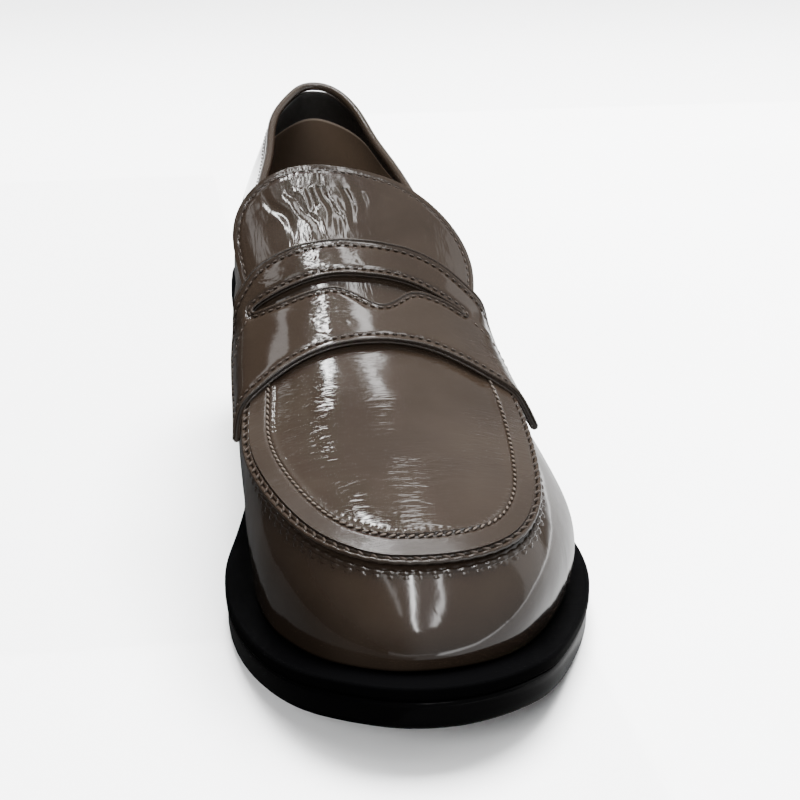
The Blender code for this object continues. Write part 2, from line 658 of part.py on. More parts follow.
def make_saddle_strap(look):
    """Strap over the instep with its long cut-out: two bars that join at both ends."""
    ways, grid = saddle_grid()
    step = np.linalg.norm(np.diff(grid, axis=1), axis=2)
    run = np.concatenate((np.zeros((len(ways), 1)), np.cumsum(step, axis=1)), axis=1)
    run -= run[:, grid.shape[1] // 2][:, None]

    def place(way, s):
        """Point of the underside at way back and run s across, from the middle."""
        row = np.clip(np.searchsorted(ways, way) - 1, 0, len(ways) - 2)
        share = (way - ways[row]) / (ways[row + 1] - ways[row])
        near = [np.interp(s, run[row], grid[row][:, axis]) for axis in range(3)]
        far = [np.interp(s, run[row + 1], grid[row + 1][:, axis]) for axis in range(3)]
        return np.array(near) * (1 - share) + np.array(far) * share

    columns = np.linspace(-1, 1, STRAP_COLUMNS + 1)
    half = BALL_WIDTH * np.where(columns < 0, STRAP_MEDIAL_RUN, STRAP_LATERAL_RUN)
    edges = [profile(STRAP_EDGES, column, columns) * LAST_LENGTH for column in range(1, 5)]
    lines = []
    for low, high, rows in ((edges[0], edges[1], STRAP_BAR_ROWS), (edges[2], edges[3], STRAP_BAR_ROWS - 1)):
        lines += [low + (high - low) * k / rows for k in range(rows + 1)]
    vertices = [place(way, s) for line in lines for way, s in zip(line, columns * half)]
    faces = []
    count = STRAP_COLUMNS + 1
    for k in range(len(lines) - 1):
        for c in range(STRAP_COLUMNS):
            within = CUT_OUT_MEDIAL_RUN <= columns[c] and columns[c + 1] <= CUT_OUT_LATERAL_RUN
            is_open = k == STRAP_BAR_ROWS and within
            if not is_open:
                near = k * count + c
                faces.append((near, near + 1, near + count + 1, near + count))
    strap = new_object("saddle_strap", vertices, faces, look)
    solidify(strap, STRAP_THICKNESS, 1)


def heel_ring(level, height):
    """Closed ring of the heel: level 0 at the seat and 1 on the floor, starting at the back centre."""
    back = LAST_LENGTH + WELT_WIDTH * LATERAL_RIBS[-1][-1]
    dense = np.linspace(LAST_RIB / 2, LAST_RIB, HEEL_RIB_SAMPLES)
    front = [np.interp(back - HEEL_LENGTH, ribs(side * dense)[:, 1], dense) for side in (-1, 1)]
    medial = -np.linspace(LAST_RIB, front[0], HEEL_STEPS + 1)
    lateral = np.linspace(front[1], LAST_RIB, HEEL_STEPS + 1)[:-1]
    r = np.concatenate((medial, lateral))
    row = ribs(r)
    out = outward(r)
    taper = HEEL_SIDE_TAPER * np.abs(out[:, 0]) + HEEL_BACK_TAPER * np.maximum(out[:, 1], 0)
    plan = row[:, :2] + out * (row[:, 7] - HEEL_INSET - taper * level)[:, None]
    plan[:, 1] += HEEL_BREAST_TAPER * level * (back - plan[:, 1]) / HEEL_LENGTH
    return np.column_stack((plan, height(plan[:, 1])))


def make_heel(look, tread):
    seat = float(outsole_bottom(LAST_LENGTH)) - CLEAR
    joint = TOP_PIECE_THICKNESS + CLEAR
    layered("heel_block", (
        heel_ring(0, lambda t: outsole_bottom(t) - CLEAR),
        heel_ring(1 - joint / seat, lambda t: np.full(len(t), joint)),
    ), look)
    layered("heel_top_piece", (
        heel_ring(1 - TOP_PIECE_THICKNESS / seat, lambda t: np.full(len(t), TOP_PIECE_THICKNESS)),
        heel_ring(1, lambda t: np.zeros(len(t))),
    ), tread)


def stand_on_origin():
    """Moves the shoe so that the middle of its box on the floor is the origin."""
    bpy.context.view_layer.update()
    graph = bpy.context.evaluated_depsgraph_get()
    points = []
    for made in bpy.data.objects:
        mesh = made.evaluated_get(graph).to_mesh()
        points += [vertex.co.copy() for vertex in mesh.vertices]
    low = [min(point[axis] for point in points) for axis in range(3)]
    high = [max(point[axis] for point in points) for axis in range(3)]
    for made in bpy.data.objects:
        made.location = (-(low[0] + high[0]) / 2, -(low[1] + high[1]) / 2, -low[2])


for leftover in list(bpy.data.objects):
    bpy.data.objects.remove(leftover, do_unlink=True)

patent = material("patent_leather", (0.145, 0.112, 0.088), 0.28, 1.0)
sole_black = material("black_welt", (0.012, 0.012, 0.013), 0.45)
rubber_black = material("black_rubber", (0.010, 0.010, 0.011), 0.6)
sock = material("sock_lining", (0.22, 0.16, 0.12), 0.7)

make_layers(sole_black, rubber_black, sock)
make_upper(patent)
make_apron(patent)
make_moc_seam(patent)
make_saddle_strap(patent)
make_collar_binding(patent)
make_heel(sole_black, rubber_black)
stand_on_origin()
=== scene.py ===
# %% [markdown]
# # A patent loafer pump
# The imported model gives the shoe's solids at their real size and place. This lesson dresses them: it takes
# each solid's own surface, rounds and creases it as leather does, and adds stitches, seams and finishes.
# Every number is in metres in the frame of the model: the toe points to -Y and the floor is at z = 0.

# %% The frame
import math

import bmesh
import bpy
import numpy as np
from mathutils import Matrix, Vector
from mathutils import noise as field
from mathutils.bvhtree import BVHTree
from mathutils.kdtree import KDTree


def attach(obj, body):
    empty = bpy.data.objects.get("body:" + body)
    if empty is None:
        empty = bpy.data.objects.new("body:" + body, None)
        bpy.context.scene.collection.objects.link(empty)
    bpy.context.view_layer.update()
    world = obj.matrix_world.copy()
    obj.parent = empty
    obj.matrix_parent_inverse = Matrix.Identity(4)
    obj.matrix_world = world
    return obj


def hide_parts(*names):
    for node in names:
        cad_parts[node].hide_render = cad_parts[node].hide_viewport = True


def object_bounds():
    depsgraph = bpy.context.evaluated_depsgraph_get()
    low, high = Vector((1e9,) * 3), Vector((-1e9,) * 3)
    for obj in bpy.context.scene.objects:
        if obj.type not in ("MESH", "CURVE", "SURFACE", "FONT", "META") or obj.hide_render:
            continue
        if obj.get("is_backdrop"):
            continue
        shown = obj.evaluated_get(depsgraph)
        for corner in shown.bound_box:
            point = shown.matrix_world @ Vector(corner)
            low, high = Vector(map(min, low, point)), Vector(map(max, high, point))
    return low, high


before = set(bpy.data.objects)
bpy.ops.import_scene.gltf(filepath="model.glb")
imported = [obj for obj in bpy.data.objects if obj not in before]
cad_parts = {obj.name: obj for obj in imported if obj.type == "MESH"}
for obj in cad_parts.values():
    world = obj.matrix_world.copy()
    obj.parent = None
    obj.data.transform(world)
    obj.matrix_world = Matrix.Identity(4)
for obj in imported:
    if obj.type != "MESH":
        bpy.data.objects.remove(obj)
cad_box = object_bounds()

MM = 0.001
print("solids in the frame:", ", ".join(sorted(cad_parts)))

# %% [markdown]
# ## Shader words
# A finish is a sum of patterns, so it reads best as arithmetic. A socket is wrapped in a small class whose
# operators add Math nodes, and one method makes every other node. Colours go through Mix nodes, because a
# Math node would turn them grey.


# %% A socket that can be reckoned with
class Value:
    """A shader socket that takes part in sums as a number does."""

    def __init__(self, look, socket):
        self.look = look
        self.socket = socket

    def maths(self, operation, first, second):
        return self.look.node("ShaderNodeMath", {"operation": operation}, {0: first, 1: second})

    def __add__(self, other):
        return self.maths("ADD", self, other)

    def __sub__(self, other):
        return self.maths("SUBTRACT", self, other)

    def __rsub__(self, other):
        return self.maths("SUBTRACT", other, self)

    def __mul__(self, other):
        return self.maths("MULTIPLY", self, other)

    def __pow__(self, other):
        return self.maths("POWER", self, other)

    __radd__ = __add__
    __rmul__ = __mul__


# %% Nodes in a tree
class Nodes:
    """A node tree that takes nodes one by one."""

    def __init__(self, tree):
        self.tree = tree

    def node(self, kind, settings=(), inputs=(), output=0):
        """Makes a node, sets it up, then fills its sockets with values or links."""
        made = self.tree.nodes.new(kind)
        for key, value in dict(settings).items():
            setattr(made, key, value)
        for key, value in dict(inputs).items():
            self.feed(made.inputs[key], value)
        return Value(self, made.outputs[output])

    def feed(self, socket, value):
        if isinstance(value, Value):
            self.tree.links.new(value.socket, socket)
        else:
            socket.default_value = value

    def step(self, value, low, high, start=0.0, end=1.0):
        """start below low and end above high, with a soft step between; low may be the higher."""
        sockets = {"Value": value, "From Min": low, "From Max": high, "To Min": start, "To Max": end}
        return self.node("ShaderNodeMapRange", {"interpolation_type": "SMOOTHSTEP"}, sockets)


# %% A finish under construction
class Look(Nodes):
    """A material, its shader and the few kinds of node that the finishes here are made of."""

    def __init__(self, name, **constants):
        self.material = bpy.data.materials.new(name)
        self.material.use_nodes = True
        super().__init__(self.material.node_tree)
        self.shader = self.tree.nodes["Principled BSDF"]
        for socket, value in constants.items():
            self.shader.inputs[socket.replace("_", " ")].default_value = value
        self.place = self.node("ShaderNodeTexCoord", output="Object")

    def noise(self, stretch, detail=2.0, rough=0.5, bend=0.0, shift=(0.0, 0.0, 0.0)):
        """Cloudy pattern, about 0 to 1; stretch is how many waves it has in a metre along x, y and z."""
        stretched = {"Vector": self.place, "Location": shift, "Scale": stretch}
        at = self.node("ShaderNodeMapping", inputs=stretched)
        sockets = {"Vector": at, "Scale": 1.0, "Detail": detail, "Roughness": rough, "Distortion": bend}
        return self.node("ShaderNodeTexNoise", inputs=sockets)

    def size_of(self, value):
        return self.node("ShaderNodeMath", {"operation": "ABSOLUTE"}, {0: value})

    def mix(self, share, first, second):
        settings = {"data_type": "RGBA"}
        return self.node("ShaderNodeMix", settings, {0: share, 6: first, 7: second}, output=2)

    def measure(self, name):
        """A number stored on the piece's own points."""
        return self.node("ShaderNodeAttribute", {"attribute_name": name}, output="Fac")

    def bump(self, height):
        """Surface relief from a height in metres."""
        sockets = {"Height": height, "Strength": 1.0, "Distance": 1.0}
        return self.node("ShaderNodeBump", inputs=sockets)

    def finish(self, colour, roughness, height):
        fed = {"Base Color": colour, "Roughness": roughness, "Normal": self.bump(height)}
        for socket, value in fed.items():
            self.feed(self.shader.inputs[socket], value)
        print("finish:", self.material.name, "from", len(self.tree.nodes), "nodes")
        return self.material


# %% [markdown]
# ## Patent leather
# Patent leather is leather under a poured film of clear lacquer. It is nearly as glossy as glass, and what
# tells it from plastic is how it creases: the film wrinkles in fine sharp lines, in patches, across the way
# that the piece was stretched. So each piece gets its own run of wrinkles, and all share colour and gloss.
# The film is the shader's own gloss and not its coat, because the coat would lie smooth over the wrinkles.

# %% Patent leather
TAUPE = (0.0165, 0.0118, 0.0084, 1.0)
TAUPE_DEEP = (0.0118, 0.0080, 0.0055, 1.0)
SEAM_BROWN = (0.006, 0.004, 0.003, 1.0)
LACQUER_IOR = 1.52
HIDE_RELIEF = 0.006 * MM
SEAM_DIP = 0.16 * MM


def patent(name, wrinkles, depth, shift=(0.0, 0.0, 0.0), gloss=0.085, waves=95.0, wave_depth=0.22 * MM):
    """Lacquered leather with this many wrinkles in a metre along x, y and z, and waves under them."""
    look = Look(name, IOR=LACQUER_IOR)
    clouds = look.noise((38.0, 38.0, 38.0), detail=3.0, shift=shift)
    lines = look.noise(wrinkles, detail=2.5, rough=0.55, bend=0.5, shift=shift)
    ridges = 1.0 - look.size_of(lines * 2.0 - 1.0)
    where = look.step(look.noise((45.0, 45.0, 45.0), detail=2.0, shift=shift), 0.44, 0.62)
    hide = look.noise((700.0, 700.0, 700.0), detail=2.0)
    swell = look.noise((waves, waves, waves), detail=1.0, shift=shift)
    seam = look.measure("near_seam")
    height = ridges ** 2.0 * (where * 0.7 + 0.3) * depth
    height = height + hide * HIDE_RELIEF + swell * wave_depth - seam * SEAM_DIP
    colour = look.mix(look.step(clouds, 0.3, 0.75), TAUPE_DEEP, TAUPE)
    colour = look.mix(seam * 0.45, colour, SEAM_BROWN)
    roughness = clouds * 0.05 + look.measure("on_border") * 0.16 + gloss
    return look.finish(colour, roughness, height)


vamp_patent = patent("vamp_patent", (170.0, 120.0, 60.0), 0.05 * MM, waves=75.0, wave_depth=0.42 * MM)
apron_patent = patent("apron_patent", (110.0, 620.0, 300.0), 0.11 * MM)
tongue_patent = patent("tongue_patent", (420.0, 90.0, 80.0), 0.055 * MM, shift=(3.0, 1.0, 0.0))
strap_patent = patent("strap_patent", (160.0, 430.0, 230.0), 0.07 * MM, shift=(1.0, 4.0, 2.0))
binding_patent = patent("binding_patent", (500.0, 500.0, 500.0), 0.02 * MM, gloss=0.2)

# %% [markdown]
# ## Linings, edges, thread and sole
# The other finishes are duller. The lining is plain leather with an open grain, black where the collar is
# faced. Cut edges are painted. Thread is matt. The welt is matt black, and the heel and the edge of the sole
# are black with a low shine.

# %% Linings and edges
BLACK = (0.0007, 0.0007, 0.0008, 1.0)
LINING_BROWN = (0.062, 0.044, 0.030, 1.0)
LINING_SHADE = (0.040, 0.028, 0.020, 1.0)
FACING_BLACK = (0.004, 0.0034, 0.003, 1.0)
# A painted highlight: the light that the lining's cut edge catches just below the black facing.
FACING_EDGE_HIGHLIGHT = (0.22, 0.18, 0.145, 1.0)
FACING_STEP = 0.4 * MM
LINING_GRAIN = 0.03 * MM


def plain(name, dark, light, roughness, grain, relief, ior=1.5):
    """A dull finish with so many grains in a metre, relief deep; a low ior takes the sheen away."""
    look = Look(name, IOR=ior)
    clouds = look.noise((30.0, 30.0, 30.0), detail=3.0)
    grains = look.noise((grain, grain, grain), detail=3.0, rough=0.6)
    return look.finish(look.mix(clouds, dark, light), grains * 0.12 + (roughness - 0.06), grains * relief)


def lining():
    """Brown lining leather with the black facing along the collar, and a painted highlight on the lining's edge
    just below the facing.
    """
    look = Look("lining_leather")
    grains = look.noise((900.0, 900.0, 900.0), detail=3.0, rough=0.6)
    clouds = look.noise((40.0, 40.0, 40.0), detail=3.0)
    below = look.measure("below_facing")
    facing = look.step(below, 0.15 * MM, -0.15 * MM)
    # Painted highlight in a thin band just below the facing, where the lining's edge catches the light.
    lip_highlight = look.step(below, -0.1 * MM, 0.3 * MM) * look.step(below, 0.9 * MM, 0.4 * MM)
    brown = look.mix(clouds, LINING_SHADE, LINING_BROWN)
    colour = look.mix(lip_highlight * 0.6, look.mix(facing, brown, FACING_BLACK), FACING_EDGE_HIGHLIGHT)
    height = grains * LINING_GRAIN - facing * FACING_STEP
    return look.finish(colour, grains * 0.15 + facing * 0.3 + 0.42, height)


lining_leather = lining()
edge_paint = plain("edge_paint", (0.009, 0.007, 0.0055, 1.0), (0.018, 0.0135, 0.0105, 1.0),
                   0.32, 700.0, 0.03 * MM)
thread_brown = plain("thread_brown", (0.014, 0.010, 0.0075, 1.0), (0.030, 0.022, 0.017, 1.0),
                     0.5, 2500.0, 0.04 * MM)
thread_pale = plain("thread_pale", (0.045, 0.035, 0.028, 1.0), (0.085, 0.068, 0.055, 1.0),
                    0.4, 2500.0, 0.04 * MM)
sock_leather = plain("sock_leather", (0.070, 0.050, 0.037, 1.0), (0.110, 0.078, 0.058, 1.0),
                     0.55, 800.0, 0.05 * MM)
welt_black = plain("welt_black", BLACK, (0.0011, 0.0011, 0.0012, 1.0), 0.45, 600.0, 0.02 * MM, ior=1.03)
sole_black = plain("sole_black", BLACK, (0.0010, 0.0010, 0.0011, 1.0), 0.22, 300.0, 0.01 * MM, ior=1.12)
tread_black = plain("tread_black", BLACK, (0.0016, 0.0016, 0.0016, 1.0), 0.50, 500.0, 0.06 * MM, ior=1.2)

# %% [markdown]
# ## From a solid to a leather surface
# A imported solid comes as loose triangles. A copy is merged and its triangles are joined in pairs, which
# gives back the even grid that a subdivision surface needs. Faces are then told apart by walking outwards
# from one face over soft edges: outer skin, inner skin, and the cut edge between them.


# %% Copying a solid
SAME_POINT = 0.01 * MM
PAIR_TURN, PAIR_SKEW = 0.7, 3.1
SKIN_TURN = 1.05
CUT_TURN = 0.7


def merged(node):
    """A solid's surface as one closed mesh of mostly four-sided faces."""
    bm = bmesh.new()
    bm.from_mesh(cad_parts[node].data)
    bmesh.ops.remove_doubles(bm, verts=bm.verts, dist=SAME_POINT)
    bmesh.ops.join_triangles(bm, faces=bm.faces, angle_face_threshold=PAIR_TURN,
                             angle_shape_threshold=PAIR_SKEW)
    bm.normal_update()
    return bm


def spread(seed):
    """The faces reached from the seed without crossing an edge that turns more than a skin does."""
    reached = {seed}
    queue = [seed]
    while queue:
        face = queue.pop()
        for edge in face.edges:
            if len(edge.link_faces) == 2 and edge.calc_face_angle() < SKIN_TURN:
                for other in edge.link_faces:
                    if other not in reached:
                        reached.add(other)
                        queue.append(other)
    return reached


OUTER, EDGE, INNER = range(3)


def sort_skins(bm, before_y, thickness):
    """Marks faces as outer skin, cut edge or inner skin, from the most level face before that y."""
    front = [face for face in bm.faces if face.calc_center_median().y < before_y]
    seed = max(front, key=lambda face: face.normal.z)
    under = seed.calc_center_median() - seed.normal * thickness
    outer = spread(seed)
    rest = [face for face in bm.faces if face not in outer]
    inner = spread(min(rest, key=lambda face: (face.calc_center_median() - under).length))
    for face in bm.faces:
        face.material_index = OUTER if face in outer else INNER if face in inner else EDGE
    print("  faces of outer skin, edge and inner skin:", len(outer), len(rest) - len(inner), len(inner))


# %% Rounding it
def turned_edges(bm, radius, skins=(OUTER, EDGE, INNER), steps=2):
    """Rounds the sharp edges that these skins have, as where leather is folded over or skived."""
    sharp = [edge for edge in bm.edges if len(edge.link_faces) == 2 and edge.calc_face_angle() > CUT_TURN
             and any(face.material_index in skins for face in edge.link_faces)]
    bmesh.ops.bevel(bm, geom=sharp, offset=radius, offset_type="OFFSET", segments=steps, profile=0.5,
                    affect="EDGES", material=-1, clamp_overlap=True)


def new_piece(bm, name, *looks):
    """A new object with a bmesh as its mesh."""
    mesh = bpy.data.meshes.new(name)
    bm.to_mesh(mesh)
    bm.free()
    mesh.shade_smooth()
    for look in looks:
        mesh.materials.append(look)
    return placed(name, mesh)


def placed(name, data):
    """A new object in the scene, left at the origin."""
    made = bpy.data.objects.new(name, data)
    bpy.context.collection.objects.link(made)
    return made


def baked_mesh(piece):
    """A piece's mesh as its modifiers or its curve make it."""
    graph = bpy.context.evaluated_depsgraph_get()
    return bpy.data.meshes.new_from_object(piece.evaluated_get(graph))


def rounded(bm, name, levels, looks, crease_from=0.6, crease=0.8):
    """Subdivides a mesh into a new object, holding edges that are sharper than crease_from."""
    held = bm.edges.layers.float.new("crease_edge")
    for edge in bm.edges:
        if len(edge.link_faces) == 2 and edge.calc_face_angle() > crease_from:
            edge[held] = crease
    made = new_piece(bm, name, *looks)
    modifier = made.modifiers.new("Finer", "SUBSURF")
    modifier.levels = levels
    modifier.render_levels = levels
    made.data = baked_mesh(made)
    made.modifiers.clear()
    made.data.shade_smooth()
    print(f"piece {name}: {len(made.data.polygons)} faces")
    return made


# %% Working on its points
def points_of(piece, what="co"):
    """The places of a piece's points, or their normals."""
    flat = np.zeros(len(piece.data.vertices) * 3)
    piece.data.vertices.foreach_get(what, flat)
    return flat.reshape(-1, 3)


def push(piece, amounts):
    """Moves each point out along its normal."""
    moved = points_of(piece) + points_of(piece, "normal") * np.asarray(amounts)[:, None]
    piece.data.vertices.foreach_set("co", moved.ravel())
    piece.data.update()


def store(piece, name, values):
    """Keeps a number at each point, for the finishes to read."""
    made = piece.data.attributes.new(name, "FLOAT", "POINT")
    made.data.foreach_set("value", np.asarray(values, np.float32))


def bell(far, width):
    """1 on a line, falling to nothing over a few widths."""
    return np.exp(-(far / width) ** 2)


FOLD_BOW = 0.06
FOLD_BANK = 0.45


def folds(place, table):
    """Relief of creases drawn from above, in mm: rows of start x, y, end x, y, width and depth."""
    relief = np.zeros(len(place))
    plan = place[:, :2] / MM
    for x0, y0, x1, y1, width, depth in table:
        start = np.array((x0, y0))
        along = np.array((x1, y1)) - start
        share = np.clip((plan - start) @ along / (along @ along), 0, 1)
        bow = np.array((along[1], -along[0])) * FOLD_BOW * np.sin(share * 2 * np.pi)[:, None]
        across = np.linalg.norm(plan - start - share[:, None] * along - bow, axis=1) / width
        taper = np.sin(np.clip(share, 0.04, 0.96) * np.pi) ** 0.5
        relief += depth * MM * taper * (FOLD_BANK * bell(across - 1.6, 0.8) - bell(across, 1.0))
    return relief


def dress(piece, slot, *nodes):
    """The piece stands for its solids and moves with the shoe."""
    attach(piece, "root")
    if nodes:
        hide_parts(*nodes)


# %% [markdown]
# ## Lines on the leather
# Seams and stitches follow the edges of a piece. The edge of a skin is walked point by point, and a line
# inside it is found by stepping inwards along the surface. A search tree then says how far any point of a
# piece is from such a line, which places grooves, puckers and dark thread holes.


# %% Walking the edges
def borders(piece, skin=OUTER):
    """Closed rows of points round a skin, its inside on the left, the longest row first."""
    bm = bmesh.new()
    bm.from_mesh(piece.data)
    after = {}
    for face in bm.faces:
        if face.material_index == skin:
            for loop in face.loops:
                if sum(other.material_index == skin for other in loop.edge.link_faces) == 1:
                    after[loop.vert.index] = loop.link_loop_next.vert.index
    bm.free()
    place = points_of(piece)
    rows = []
    while after:
        start = next(iter(after))
        row = [start]
        at = after.pop(start)
        while at != start and at in after:
            row.append(at)
            at = after.pop(at)
        rows.append(place[row])
    return sorted(rows, key=lambda row: -way_along(row)[-1])


def way_along(row):
    """The way to each point from the first."""
    return np.concatenate(([0.0], np.cumsum(np.linalg.norm(np.diff(row, axis=0), axis=1))))


def resampled(row, spacing, closed=False):
    """The same line with even spacing."""
    if closed:
        row = np.vstack((row, row[:1]))
    way = way_along(row)
    at = np.linspace(0, way[-1], max(2, round(way[-1] / spacing) + 1))
    made = np.column_stack([np.interp(at, way, row[:, axis]) for axis in range(3)])
    return made[:-1] if closed else made


def softened(row, rounds, closed=False):
    """The line with its small corners smoothed out."""
    for _ in range(rounds):
        if closed:
            row = (np.roll(row, 1, axis=0) + 2 * row + np.roll(row, -1, axis=0)) / 4
        else:
            row = np.vstack((row[:1], (row[:-2] + 2 * row[1:-1] + row[2:]) / 4, row[-1:]))
    return row


def skin_tree(piece):
    """Search tree of a piece's outer skin."""
    place = [Vector(point) for point in points_of(piece)]
    faces = [tuple(face.vertices) for face in piece.data.polygons if face.material_index == OUTER]
    return BVHTree.FromPolygons(place, faces)


WALK_SPACING = 0.6 * MM
WALK_STEP = 0.35 * MM
SHORTEST_RUN = 8


def inside_line(row, tree, inset):
    """The line that runs inset inside a closed edge, cut where the edge turns too tightly for it."""
    row = softened(resampled(row, WALK_SPACING, True), 3, True)
    along = np.roll(row, -1, axis=0) - np.roll(row, 1, axis=0)
    near = KDTree(len(row))
    for i, point in enumerate(row):
        near.insert(point, i)
    near.balance()
    steps = math.ceil(inset / WALK_STEP)
    kept = []
    for point, ahead in zip(row, along):
        spot = Vector(point)
        for _ in range(steps):
            _, normal, _, _ = tree.find_nearest(spot)
            spot = spot + normal.cross(Vector(ahead)).normalized() * (inset / steps)
            spot = tree.find_nearest(spot)[0]
        kept.append(tuple(spot) if near.find(spot)[2] > 0.72 * inset else None)
    return kept


def runs(kept, choose=lambda point: True):
    """Splits a closed row with gaps into open lines."""
    flags = [point is not None and choose(point) for point in kept]
    if all(flags):
        return [np.array(kept + kept[:1])]
    start = flags.index(False)
    found = []
    run = []
    for i in range(start, start + len(kept) + 1):
        if flags[i % len(kept)] and i < start + len(kept):
            run.append(kept[i % len(kept)])
        else:
            if len(run) > SHORTEST_RUN:
                found.append(np.array(run))
            run = []
    return found


def distance_to(lines, place, most=6 * MM):
    """How far each point is from the nearest of some lines, and the way along that line."""
    dense = [resampled(line, 0.25 * MM) for line in lines]
    ways = np.concatenate([way_along(line) for line in dense])
    dense = np.concatenate(dense)
    tree = KDTree(len(dense))
    for i, point in enumerate(dense):
        tree.insert(point, i)
    tree.balance()
    far = np.full(len(place), most)
    way = np.zeros(len(place))
    for i, point in enumerate(place):
        found = tree.find(point)
        if found[2] < most:
            far[i] = found[2]
            way[i] = ways[found[1]]
    return far, way


# %% [markdown]
# ## Stitches
# A stitch is one visible length of thread that dips into the leather at both ends. Hundreds are needed, so
# each is a small ellipsoid with few faces, laid along the line at its pitch and turned to lie on the leather.


# %% Sewing
def stitch(bm, spot, along, up, size, slant):
    """One stitch of size (long, wide, high) at a spot, turned by slant from the way of its line."""
    turned = (along * math.cos(slant) + up.cross(along) * math.sin(slant)).normalized()
    axes = Matrix((turned, up.cross(turned), up)).transposed().to_4x4()
    lay = Matrix.Translation(spot) @ axes @ Matrix.Diagonal((*[s / 2 for s in size], 1))
    bmesh.ops.create_uvsphere(bm, u_segments=6, v_segments=5, radius=1.0, matrix=lay)


def sew(name, lines, tree, look, pitch, size, slant=0.0):
    """One piece with a stitch at each pitch along the lines."""
    bm = bmesh.new()
    count = 0
    for line in lines:
        line = resampled(softened(line, 4), pitch)
        middles = (line[1:] + line[:-1]) / 2
        for middle, ahead in zip(middles, np.diff(line, axis=0)):
            spot, normal, _, _ = tree.find_nearest(Vector(middle))
            along = Vector(ahead)
            stitch(bm, spot, (along - normal * along.dot(normal)).normalized(), normal, size, slant)
            count += 1
    dress(new_piece(bm, name, look), "patent_leather")
    print(f"piece {name}: {count} stitches")


# %% [markdown]
# ## The upper
# The upper is one shell: vamp, quarters and what lies under the apron. Its rim at the collar and its foot
# stay crisp, since the binding and the welt cover them. The skin is pulled slightly unevenly over the last,
# so a slow wave is pressed into it.

# %% Shell
WALL = 1.8 * MM
SEAM_REACH = 0.45 * MM
TOE_TOP_Y = -50 * MM


def uneven(place, size, depth, seed):
    """Slow swells of the skin, size apart and up to depth high."""
    shift = Vector((seed * 17.3, seed * 5.1, seed * 9.7))
    return np.array([field.noise(Vector(point) / size + shift) for point in place]) * depth


bm = merged("upper")
sort_skins(bm, TOE_TOP_Y, WALL)
upper = rounded(bm, "upper_leather", 2, (vamp_patent, edge_paint, lining_leather))
shell_rows = borders(upper)
print("edges of the shell, mm:", [round(way_along(row)[-1] / MM) for row in shell_rows])
upper_tree = skin_tree(upper)

# %% Collar, quarter line and lining
STITCH_INSET = 2.0 * MM
QUARTER_FRONT_Y = 0.0
FACING_TOP = 1.0 * MM
FACING_DEPTH = 8.0 * MM

collar_row = max(shell_rows, key=lambda row: row[:, 2].mean())
quarter_lines = runs(inside_line(collar_row, upper_tree, STITCH_INSET), lambda p: p[1] > QUARTER_FRONT_Y)
place = points_of(upper)
far, _ = distance_to(quarter_lines, place)
store(upper, "near_seam", bell(far, SEAM_REACH))
push(upper, uneven(place, 16 * MM, 0.16 * MM, 1) - 0.12 * MM * bell(far, 1.0 * MM))
below, _ = distance_to([collar_row], place, 30 * MM)
back_share = np.clip((place[:, 1] - 20 * MM) / (100 * MM), 0, 1)
store(upper, "below_facing", below - (FACING_TOP + FACING_DEPTH * back_share ** 1.5))
dress(upper, "patent_leather", "upper")

# %% [markdown]
# ## The apron and its border
# The apron is sewn on from inside the seam: between the seam and a second row of stitches lies a smooth
# border about 5 mm wide, and along that row the leather is gathered in small puckers. Behind the strap the
# same piece rises as the tongue, whose lacquer is creased lengthways.

# %% Apron and tongue
APRON_THICKNESS = 1.3 * MM
EDGE_RADIUS = 0.3 * MM
BORDER = 5.7 * MM
BORDER_STITCH = BORDER - 0.8 * MM
PUCKER = 2.1 * MM
BORDER_BACK_Y = -18 * MM
TONGUE_STITCH_Y = -4 * MM
FOLD_SHARE = 0.5
TONGUE_LOOK = 3
TONGUE_FRONT_Y = -22 * MM

TONGUE_FOLDS = (
    (-28.6, 16.8, -22.1, 7.6, 1.1, 0.34),
    (-19.7, 14.2, -14.6, 4.9, 1.0, 0.28),
    (-16.1, 18.7, -16.4, 9.6, 0.9, 0.30),
    (-13.0, 19.7, -11.2, 6.1, 1.0, 0.30),
    (-10.6, 13.7, -8.6, 6.1, 0.9, 0.22),
    (-7.1, 19.9, -5.8, 8.4, 0.9, 0.30),
    (-4.8, 20.0, -4.8, 16.2, 0.8, 0.20),
    (-22.8, 16.7, -19.8, 12.1, 0.9, 0.24),
    (-2.2, 18.7, -2.4, 9.8, 0.9, 0.16),
    (2.7, 14.9, 3.2, 7.7, 1.0, 0.10),
    (12.0, 13.0, 15.0, 7.0, 1.2, 0.10),
)
APRON_FOLDS = (
    (-3.4, -74.6, 11.2, -74.2, 0.8, 0.12),
    (-3.2, -76.6, 6.1, -77.1, 0.8, 0.12),
    (-2.9, -79.1, 10.4, -79.4, 0.8, 0.13),
    (-4.9, -80.9, 3.2, -80.9, 0.7, 0.10),
    (-1.5, -69.4, 5.2, -67.9, 0.8, 0.08),
    (-30.8, -52.8, -24.6, -51.3, 0.9, 0.12),
    (-31.0, -55.8, -23.9, -57.7, 0.9, 0.12),
    (-30.4, -63.4, -22.8, -64.3, 0.9, 0.10),
    (-26.4, -72.2, -21.5, -74.9, 0.9, 0.10),
    (14.0, -60.0, 22.0, -58.5, 1.0, 0.08),
)

bm = merged("apron")
sort_skins(bm, -40 * MM, APRON_THICKNESS)
turned_edges(bm, EDGE_RADIUS, (OUTER,))
turned_edges(bm, EDGE_RADIUS, (INNER,), 1)
apron = rounded(bm, "apron_leather", 3, (apron_patent, edge_paint, lining_leather, tongue_patent))
apron_row = borders(apron)[0]
apron_tree = skin_tree(apron)
border_lines = runs(inside_line(apron_row, apron_tree, BORDER_STITCH), lambda p: p[1] < BORDER_BACK_Y)
tongue_lines = runs(inside_line(apron_row, apron_tree, 1.7 * MM), lambda p: p[1] > TONGUE_STITCH_Y)

